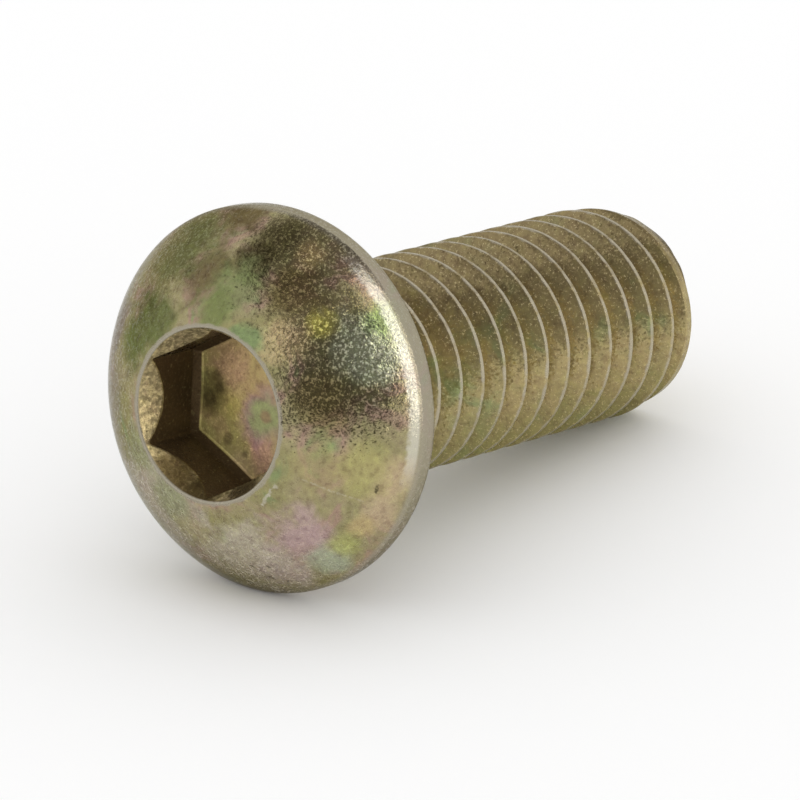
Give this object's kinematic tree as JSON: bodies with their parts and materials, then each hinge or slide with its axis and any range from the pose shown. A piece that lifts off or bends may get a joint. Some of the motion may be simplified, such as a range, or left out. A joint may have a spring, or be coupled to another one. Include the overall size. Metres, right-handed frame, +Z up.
{
  "type": "button head screw",
  "caption": "Screw for fastening with a hexagon key: low domed head, hexagon socket and M6 metric thread, in yellow passivated zinc.",
  "frame": {"origin": "on the floor under the middle of the screw's outline, with the screw lying on the rim of its head and a thread crest near its tip", "axes": "+X from the head towards the tip, level, +Z up; the screw's own axis drops 8.8 degrees below +X"},
  "size_m": [0.0194, 0.0104, 0.0104],
  "materials": {
    "plated_steel": "zinc plated, yellow passivated, satin"
  },
  "bodies": {
    "root": {"screw": "plated_steel"}
  },
  "joints": []
}
